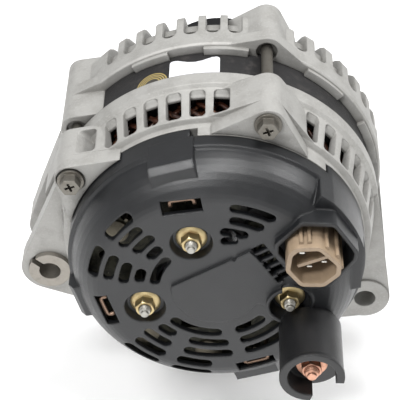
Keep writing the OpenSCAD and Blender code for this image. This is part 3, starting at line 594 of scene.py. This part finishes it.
def brush_springs():
    """A coil spring behind each brush."""
    wire = []
    for k in range(WIRE_SIDES):
        a = 2 * math.pi * k / WIRE_SIDES
        wire.append((WIRE_RADIUS * math.cos(a), WIRE_RADIUS * math.sin(a)))
    points = COIL_TURNS * POINTS_PER_TURN
    for name, station in BRUSH_STATIONS.items():
        path = []
        for i in range(points + 1):
            share = i / points
            a = 2 * math.pi * COIL_TURNS * share
            height = COIL_LOW + (COIL_HIGH - COIL_LOW) * share
            path.append(Vector((COIL_RADIUS * math.cos(a), station + COIL_RADIUS * math.sin(a), height)))

        def from_coil_axis(p, station=station):
            return Vector((p.x, p.y - station, 0))

        shape = Shape().swept(path, from_coil_axis, wire)
        coil = shape.build(name + "_coil", "spring_steel", "housing", name + "_spring", sharp=60)
        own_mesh(coil)


# ---- Label and sticker ---------------------------------------------------

CORE_RADIUS = 71.6
FILM_UNDER, FILM_TOP = 71.66, 71.84  # radii of a film's two faces, from the shaft
LABEL_CLOCKS, LABEL_STATIONS, LABEL_CORNER = (89.3, 107.4), (60.1, 74.1), 1.6
STICKER_CLOCK, STICKER_STATION, STICKER_RADIUS = 114, 61.5, 7.5
STICKER_BEND = 71.7  # the distance from the shaft where its width is true
STICKER_ORIGIN = 71.8  # the distance from the shaft of the point that its rings go round
STICKER_SIDES = 48


def label_outline(radius):
    """A rectangle with round corners, at one radius from the shaft."""
    first, last = LABEL_CLOCKS
    rear, front = LABEL_STATIONS
    corner_clock = math.degrees(LABEL_CORNER / CORE_RADIUS)
    row = []
    corners = ((last, front, 0), (first, front, 90), (first, rear, 180), (last, rear, 270))
    for clock, station, start in corners:
        centre_clock = clock + (corner_clock if clock == first else -corner_clock)
        centre_station = station + (LABEL_CORNER if station == rear else -LABEL_CORNER)
        for degrees in range(start, start + 91, 15):
            a = math.radians(degrees)
            across, up = corner_clock * math.cos(a), LABEL_CORNER * math.sin(a)
            row.append(spot(radius, centre_clock + across, centre_station + up))
    return row


def blank_label():
    """A label with rounded corners that lies round the core, and nothing printed on it."""
    shares = [0.999, 0.9, 0.75, 0.6, 0.45, 0.3, 0.15, 0.03]
    middle_clock, middle_station = sum(LABEL_CLOCKS) / 2, sum(LABEL_STATIONS) / 2

    def inset(radius, share):
        """The outline drawn in towards the label's middle, to a share of its size."""
        row = []
        for p in label_outline(radius):
            clock = math.degrees(math.atan2(p.z, p.x))
            station = middle_station + (p.y - middle_station) * share
            row.append(spot(radius, middle_clock + (clock - middle_clock) * share, station))
        return row

    under = [inset(FILM_UNDER, share) for share in reversed(shares)]
    top = [inset(FILM_TOP, share) for share in shares]
    shape = Shape().skin(under + top)
    shape.build("blank_core_label", "label_film", "housing", "label_plate", sharp=60)


def ring_sticker():
    """A round sticker that lies round the core, with its origin at its own middle."""
    rows = []
    for face, shares in ((FILM_UNDER, (0.05, 0.4, 0.7, 1)), (FILM_TOP, (0.999, 0.7, 0.4, 0.04))):
        for share in shares:
            reach = STICKER_RADIUS * share
            row = []
            for k in range(STICKER_SIDES):
                a = 2 * math.pi * k / STICKER_SIDES
                clock = STICKER_CLOCK + math.degrees(math.cos(a) * reach / STICKER_BEND)
                row.append(spot(face, clock, STICKER_STATION + math.sin(a) * reach))
            rows.append(row)
    shape = Shape().skin(rows)
    sticker = shape.build("ringed_core_sticker", "sticker_film", "housing", "round_sticker", sharp=60)
    middle = in_frame(spot(STICKER_ORIGIN, STICKER_CLOCK, STICKER_STATION))
    sticker.data.transform(Matrix.Translation(-middle))
    sticker.matrix_world = Matrix.Translation(middle)


winding()
ring_sticker()
cover_fasteners()
output_terminal()
lead_strips()
brush_springs()
blank_label()


# ---- Camera --------------------------------------------------------------

AZIMUTH, ELEVATION, DISTANCE = 0.8, 43.9, 700  # degrees and mm, from the cover's middle
AIM_LEFT, AIM_UP = 0.57, 3.2  # degrees that the camera turns away from the cover's middle
LENS = 143.5  # mm, on a 36 mm sensor

azimuth, elevation = math.radians(AZIMUTH), math.radians(ELEVATION)
level = math.cos(elevation)
back = Vector((math.sin(azimuth) * level, -math.cos(azimuth) * level, math.sin(elevation)))
right = Vector((math.cos(azimuth), math.sin(azimuth), 0))
up = back.cross(right)
gaze = (-back - right * math.tan(math.radians(AIM_LEFT)) + up * math.tan(math.radians(AIM_UP))).normalized()
side = gaze.cross(up).normalized()
top = side.cross(gaze)
camera = bpy.data.objects.new("camera", bpy.data.cameras.new("camera"))
bpy.context.scene.collection.objects.link(camera)
camera.matrix_world = Matrix((side, top, -gaze)).transposed().to_4x4()
camera.location = in_frame(Vector((0, 0, 0))) + back * DISTANCE * MM
camera.data.sensor_width = 36
camera.data.lens = LENS
camera.data.clip_start, camera.data.clip_end = 0.01, 50
bpy.context.scene.camera = camera


# ---- Floor and light -----------------------------------------------------

FLOOR_DROP = 50  # mm from the object's lowest point down to the floor
FLOOR_HALF = 6  # metres
LIGHTS_AIM = Vector((0, -0.06, 0))  # near the object's middle, in metres
AMBIENT = 0.55

bm = bmesh.new()
bmesh.ops.create_grid(bm, x_segments=2, y_segments=2, size=FLOOR_HALF)
mesh = bpy.data.meshes.new("floor")
bm.to_mesh(mesh)
bm.free()
floor = bpy.data.objects.new("floor", mesh)
floor.location.z = cad_box[0].z - FLOOR_DROP * MM
bpy.context.scene.collection.objects.link(floor)
pale = Paint("floor", (0.96, 0.96, 0.96), 0.7)
pale.mix(pale.ramp(pale.noise(60, 2), 0.4, 0.7, 0, 0.3), (0.95, 0.95, 0.95))
floor.data.materials.append(pale.done())


def area_light(name, place, size, watts):
    """A soft square light that looks at the object's middle; places are in metres."""
    lamp = bpy.data.objects.new(name, bpy.data.lights.new(name, "AREA"))
    lamp.data.size = size
    lamp.data.energy = watts
    lamp.location = place
    lamp.rotation_euler = (LIGHTS_AIM - Vector(place)).to_track_quat("-Z", "Y").to_euler()
    bpy.context.scene.collection.objects.link(lamp)


area_light("key", (-0.4, -0.6, 0.95), 0.3, 10)
area_light("top", (0.1, -0.15, 1.2), 0.35, 10)
area_light("rim", (0.75, 0.1, 0.7), 0.25, 5)
area_light("front", (-0.1, -1.2, 0.2), 0.5, 1.5)
world = bpy.data.worlds.new("studio")
world.use_nodes = True
world.node_tree.nodes["Background"].inputs["Color"].default_value = (1, 1, 1, 1)
world.node_tree.nodes["Background"].inputs["Strength"].default_value = AMBIENT
bpy.context.scene.world = world
bpy.context.scene.view_settings.view_transform = "Standard"
